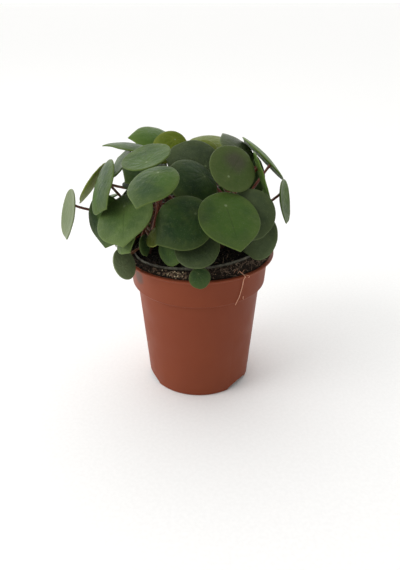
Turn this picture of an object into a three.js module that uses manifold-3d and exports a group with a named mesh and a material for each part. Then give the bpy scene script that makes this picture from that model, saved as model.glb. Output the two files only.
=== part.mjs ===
// A potted peperomia: shield-shaped leaves on long petioles, four stems, soil, a plant ring and a nursery pot.
// Millimetres, +Z up. The origin is the middle of the pot's underside, and the viewer stands towards -Y.
import * as THREE from 'three';
import { mergeVertices } from 'three/addons/utils/BufferGeometryUtils.js';
import Module from 'manifold-3d';

const wasm = await Module();
wasm.setup();

// The gap between pieces that touch.
const GAP = 0.3;

// The pot, a solid of revolution.
const POT_HEIGHT = 115;
const LIP_RADIUS = 60;
const LIP_INNER_RADIUS = 57.2;
const LIP_THICKNESS = 1.4;
const COVE_DROP = 2.2;
const BAND_TOP_RADIUS = 55.4;
const BAND_FOOT_RADIUS = 53.9;
const BAND_FOOT_HEIGHT = 91;
const BAND_STEP_DROP = 1.6;
const WALL_TOP_RADIUS = 49.9;
const WALL_FOOT_RADIUS = 42.8;
const FOOT_ROUNDING = 1.5;
const WALL_THICKNESS = 1.5;
const FLOOR_THICKNESS = 2;
const POT_SEGMENTS = 48;

// Three shallow scallops in the foot.
const SCALLOP_TURNS = [-68, 52, 172];
const SCALLOP_CENTRE_RADIUS = 44;
const SCALLOP_HALF_WIDTH = 13;
const SCALLOP_HEIGHT = 5;

// The soil mound stands higher than the lip, and higher on the right than on the left. Its edge lies in the
// hollow inside the lip, and steps up a little from the wall before it slopes out to there.
const MOUND_HEIGHT = 119.4;
const SHOULDER_HEIGHT = 117.6;
const SHOULDER_RADIUS = 52;
const SOIL_EDGE_RADIUS = 56.4;
const SOIL_EDGE_HEIGHT = 114.3;
const SOIL_EDGE_STEP = 0.4;
const RISE_TO_RIGHT = 0.079;
const RISE_TO_FRONT = 0.056;

// The plant ring, a thin strip lying on the shoulder.
const RING_RADIUS = 51;
const RING_THICKNESS = 0.8;
const RING_HEIGHT = 2.2;

// Stems and petioles.
const STEM_RADIUS = 2.9;
const STEM_SIDES = 8;
const SOIL_LEVEL = 116;
const STEM_DEPTH = 18;
const STEM_OVERRUN = 2;
const PETIOLE_RADIUS = 1.1;
const PETIOLE_SIDES = 5;
const PETIOLE_STEPS = 5;
const PETIOLE_START = { out: 0.55, up: 0.83, reach: 0.35 };
const PETIOLE_END = { along: 0.8, up: 0.35, reach: 0.3 };

// A blade is a circle drawn out to a point. The petiole meets it from below, behind the middle of the circle.
const BLADE_THICKNESS = 1.2;
const BLADE_WIDTH = 0.9;
const PETIOLE_PLACE = 0.25;
const BLADE_OUTLINE_POINTS = 16;
const BLADE_RINGS = [0.55, 1];
// A petiole's end stays this far below its blade, whose curve takes up a little of it.
const SEAT_GAP = 0.4;

const COLOURS = {
  terracotta: 0x8a4a33,
  soil: 0x2b211a,
  ring: 0x6d6f5c,
  stem: 0x6b3a2c,
  green: 0x35552f,
  olive: 0x66733a,
  young: 0x71903f,
};

// Each stem has its foot in the soil (x, y), its top (x, y, z) and its leaves.
// A leaf is: the place where its petiole meets it (x, y, z), the way its tip points (0 is to the viewer, 90 to
// the right), how far the tip droops, its bank, its length, how far its edges fall below its middle, where its
// petiole leaves the stem (0 is the foot, 1 the top), how far the petiole sways, and its tone.
const STEMS = [
  {
    foot: [-40, -14],
    top: [-28, -20, 166],
    leaves: [
      [-2, -56, 165, -59, 22, -39, 44, 3.5, 1, -2, 'green'],
      [-20, -49, 140, -31, 71, 4, 24, 2, 0.5, -2, 'green'],
      [-51, -44, 166, 2, 26, 23, 48, 1, 0.8, -4, 'green'],
      [-68, -24, 157, -60, 73, -26, 42, 4, 0.6, -7, 'green'],
      [-51, -58, 150, 11, 16, 52, 22, 1.5, 0.7, -2, 'green'],
      [-54, -55, 125, 150, -8, 63, 26, 2.5, 0.1, -3, 'green'],
      [-25, -70, 197, -31, 18, 3, 38, 3.5, 0.7, -2, 'green'],
      [-97, -9, 156, 16, 44, 73, 40, -3, 0.4, 4, 'green'],
      [-75, -1, 176, -97, 61, 4, 39, -2, 0.3, -2, 'olive'],
      [-71, -24, 180, 3, 14, 63, 45, 4, 0.9, 1, 'green'],
      [-39, -2, 197, -80, -21, 7, 40, 4, 1, 6, 'green'],
      [-33, -23, 186, -30, -6, -31, 36, 3, 0.7, 15, 'green'],
      [-39, -37, 178, -154, -16, 7, 26, 3, 1, 9, 'green'],
      [-39, -38, 138, 84, 73, 16, 17, 1.5, 0.7, -1, 'green'],
      [-33, -44, 141, 118, -47, 0, 21, 1, 0.2, -2, 'olive'],
      [-25, 31.7, 194.9, -67, -24, -27, 39, 5, 1, 26, 'green'],
      [-58, -1, 183, -167, -1, -50, 30, 0, 1, 0, 'green'],
      [-63, -4, 142, -76, 66, 4, 30, 3, 0.5, -1, 'green'],
      [-4, -57, 146, 29, 26, 25, 35, 0.5, 0.7, 2, 'green'],
      [-34, -49, 198, -174, -9, -15, 38, -1, 0.4, 7, 'green'],
    ],
  },
  {
    foot: [16, -14],
    top: [24, -16, 158],
    leaves: [
      [0, -66, 125, 46, 64, 37, 17, 2, 0.4, 3, 'green'],
      [18, -60, 172, 19, 34, -1, 47, 1, 1, -3, 'green'],
      [34, -50, 171, 20, 56, 20, 38, 3, 1, 1, 'green'],
      [20, -47, 188, 149, -33, 43, 38, 0.5, 1, 2, 'green'],
      [4, -20, 180, -40, -5, -43, 43, 5, 1, 1, 'green'],
      [5, -3, 183, -101, -24, -42, 44, 3, 1, 3, 'green'],
      [34, 2, 192, -141, -41, 12, 33, 3.5, 1, -3, 'green'],
      [42, -27, 188, 131, 70, 36, 44, -1.5, 1, -13, 'green'],
      [46, 15, 178, 178, 73, 65, 34, 2, 1, 4, 'green'],
      [63, -10, 165, -19, 41, -82, 35, -3.5, 0.3, -12, 'green'],
      [48, -43, 146.6, -114, 41, -53, 36, 2.5, 0.5, 6, 'green'],
    ],
  },
  {
    foot: [20, 22],
    top: [28, 28, 152],
    leaves: [
      [55, 0, 185, -159, -20, 46, 49, 4, 0.1, -2, 'green'],
      [10, 31, 185, 165, 3, -2, 32, 3, 1, 0, 'young'],
      [49, 4, 146, 44, 37, -36, 38, 3, 0.6, -14, 'green'],
      [41, 44, 136, 82, 59, -41, 42, 3, 1, -6, 'green'],
      [13, 59, 129, -176, 45, 9, 40, 3, 0.7, 13, 'green'],
      [39, 32, 163, 33, 47, 3, 38, 3, 0.8, -3, 'green'],
      [23, 54, 159, 91, 30, -62, 44, 3, 0.8, 4, 'green'],
      [-7, 51, 171, 167, 39, -18, 44, 3, 1, 5, 'green'],
      [13, 75, 151, 116, 36, -40, 36, 3, 1, 9, 'green'],
    ],
  },
  {
    foot: [-22, 22],
    top: [-26, 30, 156],
    leaves: [
      [-18, 17, 198, -43, 30, -31, 30, 3, 1, 5, 'young'],
      [0, 18, 193, 49, 17, 26, 26, 3, 1, -8, 'young'],
      [1, 30, 192, 124, -15, 8, 35, 3, 1, -19, 'young'],
      [-61, 19, 135, -102, 79, 1, 34, 3, 0.2, -10, 'green'],
      [-76, 29, 148, -146, 15, -14, 30, 3, 1, -6, 'green'],
      [-29, 53, 137, 174, 49, -14, 42, 3, 0.7, -4, 'green'],
      [-53, 38, 135, -164, 71, -12, 40, 3, 0.6, -7, 'green'],
      [-47, 57, 165, -160, -1, -43, 42, 3, 1, -4, 'green'],
      [-22, 43, 183, 144, -18, -5, 40, 3, 0.9, 2, 'green'],
      [-45, 57, 148, -139, 61, -11, 40, 3, 0.8, 3, 'green'],
      [-62, 12, 153, -98, 56, 0, 36, 3, 0.6, 4, 'green'],
      [-8, 62, 148, -178, 59, 0, 38, 3, 0.7, -2, 'green'],
      [-39, 22, 175, -153, 32, -12, 38, 3, 0.7, -6, 'green'],
    ],
  },
];

const object = new THREE.Group();

function addNode(name, geometry, colour, roughness) {
  const material = new THREE.MeshStandardMaterial({ color: colour, roughness, metalness: 0 });
  const mesh = new THREE.Mesh(geometry, material);
  mesh.name = name;
  object.add(mesh);
}

function toSolid(geometry) {
  const bare = geometry.clone();
  bare.deleteAttribute('normal');
  bare.deleteAttribute('uv');
  const merged = mergeVertices(bare, 1e-4);
  return new wasm.Manifold(new wasm.Mesh({
    numProp: 3,
    vertProperties: Float32Array.from(merged.attributes.position.array),
    triVerts: Uint32Array.from(merged.index.array),
  }));
}

function toGeometry(solid) {
  const mesh = solid.getMesh();
  const geometry = new THREE.BufferGeometry();
  geometry.setAttribute('position', new THREE.BufferAttribute(Float32Array.from(mesh.vertProperties), 3));
  geometry.setIndex(new THREE.BufferAttribute(Uint32Array.from(mesh.triVerts), 1));
  geometry.computeVertexNormals();
  return geometry;
}

// A profile of [radius, height] points turned round the Z axis.
function turned(profile) {
  const points = profile.map(([radius, height]) => new THREE.Vector2(radius, height));
  return new THREE.LatheGeometry(points, POT_SEGMENTS).rotateX(Math.PI / 2);
}

// A tube with a polygon section along a curve.
function tube(curve, radius, sides, steps) {
  const section = new THREE.Shape();
  for (let i = 0; i < sides; i += 1) {
    const turn = (2 * Math.PI * i) / sides;
    const x = radius * Math.cos(turn);
    const y = radius * Math.sin(turn);
    if (i === 0) section.moveTo(x, y);
    else section.lineTo(x, y);
  }
  return toSolid(new THREE.ExtrudeGeometry(section, { steps, extrudePath: curve, bevelEnabled: false }));
}

function scallops(growth) {
  return SCALLOP_TURNS.map((degrees) => {
    const turn = THREE.MathUtils.degToRad(degrees);
    const half = SCALLOP_HALF_WIDTH + growth;
    const cut = new THREE.SphereGeometry(1, 20, 12);
    cut.scale(half, half, SCALLOP_HEIGHT + growth);
    cut.translate(SCALLOP_CENTRE_RADIUS * Math.sin(turn), -SCALLOP_CENTRE_RADIUS * Math.cos(turn), 0);
    return toSolid(cut);
  });
}

function cutScallops(solid, growth) {
  return scallops(growth).reduce((rest, cut) => rest.subtract(cut), solid);
}

// The pot's inside, from the floor up to the lip, moved in by a clearance.
function innerProfile(clearance) {
  const inset = WALL_THICKNESS + clearance;
  return [
    [WALL_FOOT_RADIUS - inset, FLOOR_THICKNESS + clearance],
    [WALL_TOP_RADIUS - inset, BAND_FOOT_HEIGHT - BAND_STEP_DROP + clearance],
    [BAND_FOOT_RADIUS - inset, BAND_FOOT_HEIGHT + WALL_THICKNESS + clearance],
    [BAND_TOP_RADIUS - inset, POT_HEIGHT - LIP_THICKNESS - COVE_DROP],
  ];
}

function pot() {
  const lipFoot = POT_HEIGHT - LIP_THICKNESS;
  const profile = [
    [0, 0],
    [WALL_FOOT_RADIUS - FOOT_ROUNDING, 0],
    [WALL_FOOT_RADIUS, FOOT_ROUNDING],
    [WALL_TOP_RADIUS, BAND_FOOT_HEIGHT - BAND_STEP_DROP],
    [BAND_FOOT_RADIUS - 0.5, BAND_FOOT_HEIGHT - 0.6],
    [BAND_FOOT_RADIUS, BAND_FOOT_HEIGHT],
    [BAND_TOP_RADIUS, lipFoot - COVE_DROP],
    [LIP_RADIUS - 1.6, lipFoot - 0.6],
    [LIP_RADIUS, lipFoot + 0.2],
    [LIP_RADIUS, POT_HEIGHT - 0.4],
    [LIP_RADIUS - 0.4, POT_HEIGHT],
    [LIP_INNER_RADIUS + 0.4, POT_HEIGHT],
    [LIP_INNER_RADIUS, POT_HEIGHT - 0.4],
    ...innerProfile(0).reverse(),
    [0, FLOOR_THICKNESS],
  ];
  return toGeometry(cutScallops(toSolid(turned(profile)), 0));
}

// How far the mound's surface stands above its level height at a place.
function tilt(x, y) {
  return RISE_TO_RIGHT * x - RISE_TO_FRONT * y;
}

function stemLine(stem, from, to) {
  const foot = new THREE.Vector3(...stem.foot, SOIL_LEVEL);
  const top = new THREE.Vector3(...stem.top);
  const along = top.clone().sub(foot).normalize();
  return new THREE.LineCurve3(
    foot.clone().addScaledVector(along, from),
    top.clone().addScaledVector(along, to),
  );
}

function soil() {
  const inner = innerProfile(GAP);
  const [wallRadius, wallTop] = inner[inner.length - 1];
  const profile = [
    [0, inner[0][1]],
    ...inner,
    [wallRadius, wallTop + SOIL_EDGE_STEP],
    [SOIL_EDGE_RADIUS, SOIL_EDGE_HEIGHT],
    [SHOULDER_RADIUS, SHOULDER_HEIGHT],
    [RING_RADIUS - 1.2, SHOULDER_HEIGHT],
    [RING_RADIUS - 5, MOUND_HEIGHT - 0.6],
    [RING_RADIUS / 2, MOUND_HEIGHT],
    [0, MOUND_HEIGHT],
  ];
  const geometry = turned(profile);
  const place = geometry.attributes.position;
  for (let i = 0; i < place.count; i += 1) {
    const x = place.getX(i);
    const y = place.getY(i);
    const share = (SOIL_EDGE_RADIUS - Math.hypot(x, y)) / (SOIL_EDGE_RADIUS - SHOULDER_RADIUS);
    if (place.getZ(i) > wallTop + SOIL_EDGE_STEP + 0.1) {
      place.setZ(i, place.getZ(i) + tilt(x, y) * THREE.MathUtils.clamp(share, 0, 1));
    }
  }
  let solid = cutScallops(toSolid(geometry), GAP);
  for (const stem of STEMS) {
    solid = solid.subtract(tube(stemLine(stem, -STEM_DEPTH - GAP, 0), STEM_RADIUS + GAP, STEM_SIDES, 1));
  }
  return toGeometry(solid);
}

function plantRing() {
  const inner = RING_RADIUS - RING_THICKNESS / 2;
  const outer = RING_RADIUS + RING_THICKNESS / 2;
  const foot = SHOULDER_HEIGHT + GAP;
  const profile = [
    [inner, foot],
    [outer, foot],
    [outer, foot + RING_HEIGHT],
    [inner, foot + RING_HEIGHT],
    [inner, foot],
  ];
  const geometry = turned(profile);
  const place = geometry.attributes.position;
  for (let i = 0; i < place.count; i += 1) {
    place.setZ(i, place.getZ(i) + tilt(place.getX(i), place.getY(i)));
  }
  return toGeometry(toSolid(geometry));
}

// The leaf's own directions: across the blade, along it to the tip, and out of its upper face.
function leafAxes(heading, droop, bank) {
  const h = THREE.MathUtils.degToRad(heading);
  const d = THREE.MathUtils.degToRad(droop);
  const b = THREE.MathUtils.degToRad(bank);
  const along = new THREE.Vector3(Math.sin(h) * Math.cos(d), -Math.cos(h) * Math.cos(d), -Math.sin(d));
  const level = new THREE.Vector3(Math.cos(h), Math.sin(h), 0);
  const upright = along.clone().cross(level);
  const across = level.multiplyScalar(Math.cos(b)).addScaledVector(upright, Math.sin(b));
  const out = along.clone().cross(across);
  return { across, along, out };
}

// The outline for a length of 1, from the tip round the circle and back, with the petiole at the origin.
function bladeOutline() {
  const radius = BLADE_WIDTH / 2;
  const shoulder = Math.acos(radius / (1 - radius));
  const points = [[0, 1 - PETIOLE_PLACE]];
  const last = BLADE_OUTLINE_POINTS - 2;
  for (let i = 0; i <= last; i += 1) {
    const turn = shoulder + (2 * (Math.PI - shoulder) * i) / last;
    points.push([radius * Math.sin(turn), radius * Math.cos(turn) + radius - PETIOLE_PLACE]);
  }
  return points;
}

function blade(leaf) {
  const [x, y, z, heading, droop, bank, length, fall] = leaf;
  const { across, along, out } = leafAxes(heading, droop, bank);
  const outline = bladeOutline();
  const count = outline.length;
  const positions = [];
  const faces = [];
  const addPoint = (u, v, side) => {
    const drop = (fall * (u * u + v * v)) / (length / 2) ** 2;
    const point = new THREE.Vector3(x, y, z)
      .addScaledVector(across, u)
      .addScaledVector(along, v)
      .addScaledVector(out, (side * BLADE_THICKNESS) / 2 - drop);
    positions.push(point.x, point.y, point.z);
  };
  for (const side of [1, -1]) {
    addPoint(0, 0, side);
    for (const share of BLADE_RINGS) {
      for (const [u, v] of outline) addPoint(u * length * share, v * length * share, side);
    }
  }
  const layer = 1 + count * BLADE_RINGS.length;
  for (let i = 0; i < count; i += 1) {
    const next = (i + 1) % count;
    const upper = [[0, 1 + i, 1 + next]];
    for (let ring = 1; ring < BLADE_RINGS.length; ring += 1) {
      const near = 1 + (ring - 1) * count;
      const far = near + count;
      upper.push([near + i, far + i, far + next], [near + i, far + next, near + next]);
    }
    for (const [a, b, c] of upper) {
      faces.push(a, b, c);
      faces.push(layer + a, layer + c, layer + b);
    }
    const rim = layer - count;
    faces.push(rim + i, layer + rim + i, layer + rim + next);
    faces.push(rim + i, layer + rim + next, rim + next);
  }
  const geometry = new THREE.BufferGeometry();
  geometry.setAttribute('position', new THREE.BufferAttribute(Float32Array.from(positions), 3));
  geometry.setIndex(faces);
  return toGeometry(toSolid(geometry));
}

// A petiole starts in its stem, rises outwards and comes up to its blade from below.
function petiole(stem, leaf) {
  const [x, y, z, heading, droop, bank] = leaf;
  const [rise, sway] = leaf.slice(8, 10);
  const { out } = leafAxes(heading, droop, bank);
  const up = new THREE.Vector3(0, 0, 1);
  const start = stemLine(stem, 0, 0).getPoint(rise);
  const seat = new THREE.Vector3(x, y, z).addScaledVector(out, -BLADE_THICKNESS / 2 - SEAT_GAP);
  const reach = seat.distanceTo(start);
  const outwards = new THREE.Vector3(seat.x - start.x, seat.y - start.y, 0).normalize();
  const aside = new THREE.Vector3(-outwards.y, outwards.x, 0);
  const leaving = start.clone()
    .addScaledVector(outwards, PETIOLE_START.out * PETIOLE_START.reach * reach)
    .addScaledVector(up, PETIOLE_START.up * PETIOLE_START.reach * reach)
    .addScaledVector(aside, sway / 2);
  const arriving = seat.clone()
    .addScaledVector(out, -PETIOLE_END.along * PETIOLE_END.reach * reach)
    .addScaledVector(up, -PETIOLE_END.up * PETIOLE_END.reach * reach)
    .addScaledVector(aside, sway);
  const slant = seat.clone().sub(arriving).angleTo(out);
  const end = seat.clone().addScaledVector(out, -PETIOLE_RADIUS * Math.sin(slant));
  const curve = new THREE.CubicBezierCurve3(start, leaving, arriving, end);
  return tube(curve, PETIOLE_RADIUS, PETIOLE_SIDES, PETIOLE_STEPS);
}

function stemWithPetioles(stem) {
  const trunk = tube(stemLine(stem, -STEM_DEPTH, STEM_OVERRUN), STEM_RADIUS, STEM_SIDES, 1);
  return toGeometry(stem.leaves.reduce((joined, leaf) => joined.add(petiole(stem, leaf)), trunk));
}

addNode('pot', pot(), COLOURS.terracotta, 0.5);
addNode('soil', soil(), COLOURS.soil, 1);
addNode('plant_ring', plantRing(), COLOURS.ring, 0.7);

let leafNumber = 0;
STEMS.forEach((stem, index) => {
  addNode(`stem_${index + 1}`, stemWithPetioles(stem), COLOURS.stem, 0.5);
  for (const leaf of stem.leaves) {
    leafNumber += 1;
    const name = `leaf_${String(leafNumber).padStart(2, '0')}`;
    addNode(name, blade(leaf), COLOURS[leaf[leaf.length - 1]], 0.4);
  }
});

export default object;
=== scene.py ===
"""The looks of a potted peperomia: blades, stalks, soil, plant ring, root and nursery pot."""
import math
import random

import bpy
from mathutils import Euler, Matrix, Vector, noise


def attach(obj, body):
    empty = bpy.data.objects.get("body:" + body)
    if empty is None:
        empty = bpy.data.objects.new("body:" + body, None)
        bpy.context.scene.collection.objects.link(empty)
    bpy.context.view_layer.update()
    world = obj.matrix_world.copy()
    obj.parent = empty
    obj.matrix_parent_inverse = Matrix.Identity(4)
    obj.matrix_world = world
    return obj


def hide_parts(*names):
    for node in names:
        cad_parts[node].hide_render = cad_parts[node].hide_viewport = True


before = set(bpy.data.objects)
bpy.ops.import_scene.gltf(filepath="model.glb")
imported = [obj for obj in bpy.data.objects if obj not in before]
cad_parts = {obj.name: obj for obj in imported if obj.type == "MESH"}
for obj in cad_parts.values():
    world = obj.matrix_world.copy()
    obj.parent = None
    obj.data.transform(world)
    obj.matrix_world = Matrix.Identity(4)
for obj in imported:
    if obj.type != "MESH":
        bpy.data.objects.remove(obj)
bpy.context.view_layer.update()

MM = 0.001

# Camera, in millimetres and radians; the focal length is in pixels of the 570-pixel side.
CAMERA_PLACE = (1.06, -407.0, 293.75)
CAMERA_PITCH = 0.48
FOCAL_PIXELS = 550
LONG_SIDE_PIXELS = 570
SENSOR_WIDTH = 36
# The nearest and the farthest that the camera sees, in metres.
CAMERA_RANGE = (0.01, 200)

# The surround's brightest side, its brightness on the far side from it and on it, and its colour.
BRIGHT_SIDE = (-0.4, 0.6, -0.5)
SURROUND_RANGE = (0.35, 2.5)
SURROUND_COLOUR = (1.0, 0.995, 0.985, 1)

# The key light's place and target in metres, its width in metres and its power in watts.
KEY_PLACE = (-1.6, -0.7, 1.4)
KEY_TARGET = (0, 0, 0.1)
KEY_WIDTH = 1.2
KEY_POWER = 16

# Half the width of the floor, in millimetres, and the two colours of its paper.
FLOOR_HALF_WIDTH = 60000
FLOOR_COLOURS = ((0.90, 0.90, 0.895), (0.93, 0.93, 0.925))

# Pot, as in the CAD, in millimetres like the other shapes.
POT_HEIGHT = 115
LIP_RADIUS = 60
LIP_INNER_RADIUS = 57.2
LIP_THICKNESS = 1.4
COVE_DROP = 2.2
BAND_TOP_RADIUS = 55.4
BAND_FOOT_RADIUS = 53.9
BAND_FOOT_HEIGHT = 91
BAND_STEP_DROP = 1.6
WALL_TOP_RADIUS = 49.9
WALL_FOOT_RADIUS = 42.8
FOOT_ROUNDING = 1.5
WALL_THICKNESS = 1.5
FLOOR_THICKNESS = 2
SCALLOP_TURNS = (-68, 52, 172)
SCALLOP_CENTRE_RADIUS = 44
SCALLOP_HALF_WIDTH = 13
SCALLOP_HEIGHT = 5

# The pot's finer outline: how far the corners at the band's foot and under the lip are eased, inwards and
# downwards, how far the lip's edge starts over its underside, and the rounding of each corner.
BAND_EASE_IN, BAND_EASE_DOWN = 0.6, 0.9
LIP_EASE_IN, LIP_EASE_DOWN = 1.0, 0.5
LIP_EDGE_RISE = 0.1
BAND_ROUNDING = 0.8
EASE_ROUNDING = 0.5
COVE_ROUNDING = 2.0
LIP_ROUNDING = 0.6
INSIDE_ROUNDING = 1.0
POT_SEGMENTS = 192
# Edges that turn more than this many degrees stay sharp.
SHARP_ANGLE = 35

# Soil mound and ring, as in the CAD. The mound's brow lies a little inside the ring and lower than its
# middle, and its shoulder starts at the hollow in which the ring lies.
GAP = 0.3
MOUND_HEIGHT = 119.4
SHOULDER_HEIGHT = 117.6
SHOULDER_RADIUS = 52
SOIL_EDGE_RADIUS = 56.4
SOIL_EDGE_HEIGHT = 114.3
SOIL_EDGE_STEP = 0.4
RISE_TO_RIGHT = 0.079
RISE_TO_FRONT = 0.056
RING_RADIUS = 51
RING_THICKNESS = 0.8
RING_HEIGHT = 2.2
BROW_INSET, BROW_DROP = 5, 0.6
HOLLOW_INSET = 1.2

# The mound's roughness in two layers: the level at which its noise is read, how fine it is, its smoothness,
# its octaves and its height. It is damped under the ring, and only rises on the slope outside it.
MOUND_LAYERS = ((3, 0.35, 0.7, 4, 0.7), (9, 1.3, 0.8, 3, 0.45))
MOUND_LACUNARITY = 2.1
DAMPED_FROM, DAMPED_TO, DAMPED_SHARE = RING_RADIUS - 2, SHOULDER_RADIUS + 0.5, 0.4
SLOPE_SHARE = 1.3
MOUND_MESH_STEP = 0.8
MOUND_SEGMENTS = 240

# The ring's small bevels, its lift over the shoulder, and the height and closeness of its waves.
RING_FOOT_BEVEL = 0.1
RING_TOP_BEVEL_IN, RING_TOP_BEVEL_DOWN = 0.2, 0.15
RING_LIFT = GAP * 0.6
RING_WAVE = 0.35
RING_WAVES = 2.5
RING_SEGMENTS = 240

# Stems, petioles and blades, as in the CAD.
STEM_RADIUS = 2.9
SOIL_LEVEL = 116
STEM_DEPTH = 18
STEM_OVERRUN = 2
PETIOLE_RADIUS = 1.1
START_OUT, START_UP, START_REACH = 0.55, 0.83, 0.35
END_ALONG, END_UP, END_REACH = 0.8, 0.35, 0.3
BLADE_THICKNESS = 1.2
BLADE_WIDTH = 0.9
PETIOLE_PLACE = 0.25

# Finer points of stems and petioles: the stem's slimmer bark, the scars of old leaves and their spacing, its
# uneven width, and how much thicker a petiole is over its first seventh and at its blade, and how it thins.
BARK_INSET = 0.25
SCAR_HEIGHT = 0.28
SCAR_STEP = 0.9
BARK_WAVE = 0.2
FOOT_FLARE, FOOT_FLARE_FALL = 0.5, 7
SEAT_FLARE, SEAT_FLARE_START, SEAT_FLARE_SHARE = 0.35, 0.93, 0.07
PETIOLE_TAPER = 0.12
STEM_STEPS, STEM_SIDES = 60, 20
PETIOLE_STEPS, PETIOLE_SIDES = 24, 12

# Finer points of a blade. Its outline stops this far from the middle of its circle, in its lengths. Its mesh
# has rings at these shares of the way out, and its thickness falls off at the last ones.
BLUNT_LIMIT = 0.472
POINTED_LIMIT = 0.548
BLADE_OUTLINE_POINTS = 96
BLADE_RINGS = (0.05, 0.11, 0.19, 0.28, 0.37, 0.46, 0.55, 0.64, 0.73, 0.81, 0.88, 0.935, 0.97, 0.99, 1.0)
RIM_SHARES = {0.97: 0.95, 0.99: 0.72, 1.0: 0.30}
# Its swells, ripples and uneven edge: how many lie over a length, and their height in lengths.
SWELL_COUNT, SWELL_HEIGHT = 2.2, 0.022
RIPPLE_COUNT, RIPPLE_HEIGHT = 7, 0.006
QUILT_SHARE = 0.6
EDGE_COUNT, EDGE_WAVE = 3, 0.012
# The veins leave the petiole as rays this many degrees apart, and bend towards the tip.
VEIN_DEPTH = 0.16
VEIN_ANGLE = 36
VEIN_BEND = 0.5
VEIN_HALF_WIDTH = 0.03
VEIN_START, VEIN_END = 0.08, 0.75

# Each stem: its foot (x, y), its top, and its leaves. A leaf is the place where its petiole meets it
# (x, y, z), the way its tip points (0 to the viewer, 90 to the right), the droop of its tip, its bank, its
# length, how far its edges fall, where its petiole leaves the stem, how far the petiole sways, and its tone.
STEMS = [
    ((-40, -14), (-28, -20, 166), [
        (-2, -56, 165, -59, 22, -39, 44, 3.5, 1, -2, "deep"),
        (-20, -49, 140, -31, 71, 4, 24, 2, 0.5, -2, "mid"),
        (-51, -44, 166, 2, 26, 23, 48, 1, 0.8, -4, "light"),
        (-68, -24, 157, -60, 73, -26, 42, 4, 0.6, -7, "mid"),
        (-51, -58, 150, 11, 16, 52, 22, 1.5, 0.7, -2, "light"),
        (-54, -55, 125, 150, -8, 63, 26, 2.5, 0.1, -3, "pale"),
        (-25, -70, 197, -31, 18, 3, 38, 3.5, 0.7, -2, "mid"),
        (-97, -9, 156, 16, 44, 73, 40, -3, 0.4, 4, "pale"),
        (-75, -1, 176, -97, 61, 4, 39, -2, 0.3, -2, "olive"),
        (-71, -24, 180, 3, 14, 63, 45, 4, 0.9, 1, "mid"),
        (-39, -2, 197, -80, -21, 7, 40, 4, 1, 6, "mid"),
        (-33, -23, 186, -30, -6, -31, 36, 3, 0.7, 15, "dark"),
        (-39, -37, 178, -154, -16, 7, 26, 3, 1, 9, "dark"),
        (-39, -38, 138, 84, 73, 16, 17, 1.5, 0.7, -1, "dark"),
        (-33, -44, 141, 118, -47, 0, 21, 1, 0.2, -2, "olive"),
        (-25, 31.7, 194.9, -67, -24, -27, 39, 5, 1, 26, "bright"),
        (-58, -1, 183, -167, -1, -50, 30, 0, 1, 0, "dark"),
        (-63, -4, 142, -76, 66, 4, 30, 3, 0.5, -1, "dark"),
        (-4, -57, 146, 29, 26, 25, 35, 0.5, 0.7, 2, "shade"),
        (-34, -49, 198, -174, -9, -15, 38, -1, 0.4, 7, "mid"),
    ]),
    ((16, -14), (24, -16, 158), [
        (0, -66, 125, 46, 64, 37, 17, 2, 0.4, 3, "dark"),
        (18, -60, 172, 19, 34, -1, 47, 1, 1, -3, "mid"),
        (34, -50, 171, 20, 56, 20, 38, 3, 1, 1, "shade"),
        (20, -47, 188, 149, -33, 43, 38, 0.5, 1, 2, "bronzed"),
        (4, -20, 180, -40, -5, -43, 43, 5, 1, 1, "deep"),
        (5, -3, 183, -101, -24, -42, 44, 3, 1, 3, "shade"),
        (34, 2, 192, -141, -41, 12, 33, 3.5, 1, -3, "grey"),
        (42, -27, 188, 131, 70, 36, 44, -1.5, 1, -13, "bright"),
        (46, 15, 178, 178, 73, 65, 34, 2, 1, 4, "deep"),
        (63, -10, 165, -19, 41, -82, 35, -3.5, 0.3, -12, "light"),
        (48, -43, 146.6, -114, 41, -53, 36, 2.5, 0.5, 6, "lit_grey"),
    ]),
    ((20, 22), (28, 28, 152), [
        (55, 0, 185, -159, -20, 46, 49, 4, 0.1, -2, "bright"),
        (10, 31, 185, 165, 3, -2, 32, 3, 1, 0, "young"),
        (49, 4, 146, 44, 37, -36, 38, 3, 0.6, -14, "mid"),
        (41, 44, 136, 82, 59, -41, 42, 3, 1, -6, "dark"),
        (13, 59, 129, -176, 45, 9, 40, 3, 0.7, 13, "mid"),
        (39, 32, 163, 33, 47, 3, 38, 3, 0.8, -3, "mid"),
        (23, 54, 159, 91, 30, -62, 44, 3, 0.8, 4, "light"),
        (-7, 51, 171, 167, 39, -18, 44, 3, 1, 5, "mid"),
        (13, 75, 151, 116, 36, -40, 36, 3, 1, 9, "mid"),
    ]),
    ((-22, 22), (-26, 30, 156), [
        (-18, 17, 198, -43, 30, -31, 30, 3, 1, 5, "young"),
        (0, 18, 193, 49, 17, 26, 26, 3, 1, -8, "young"),
        (1, 30, 192, 124, -15, 8, 35, 3, 1, -19, "young"),
        (-61, 19, 135, -102, 79, 1, 34, 3, 0.2, -10, "mid"),
        (-76, 29, 148, -146, 15, -14, 30, 3, 1, -6, "mid"),
        (-29, 53, 137, 174, 49, -14, 42, 3, 0.7, -4, "dark"),
        (-53, 38, 135, -164, 71, -12, 40, 3, 0.6, -7, "mid"),
        (-47, 57, 165, -160, -1, -43, 42, 3, 1, -4, "dark"),
        (-22, 43, 183, 144, -18, -5, 40, 3, 0.9, 2, "mid"),
        (-45, 57, 148, -139, 61, -11, 40, 3, 0.8, 3, "light"),
        (-62, 12, 153, -98, 56, 0, 36, 3, 0.6, 4, "mid"),
        (-8, 62, 148, -178, 59, 0, 38, 3, 0.7, -2, "dark"),
        (-39, 22, 175, -153, 32, -12, 38, 3, 0.7, -6, "mid"),
    ]),
]
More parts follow.
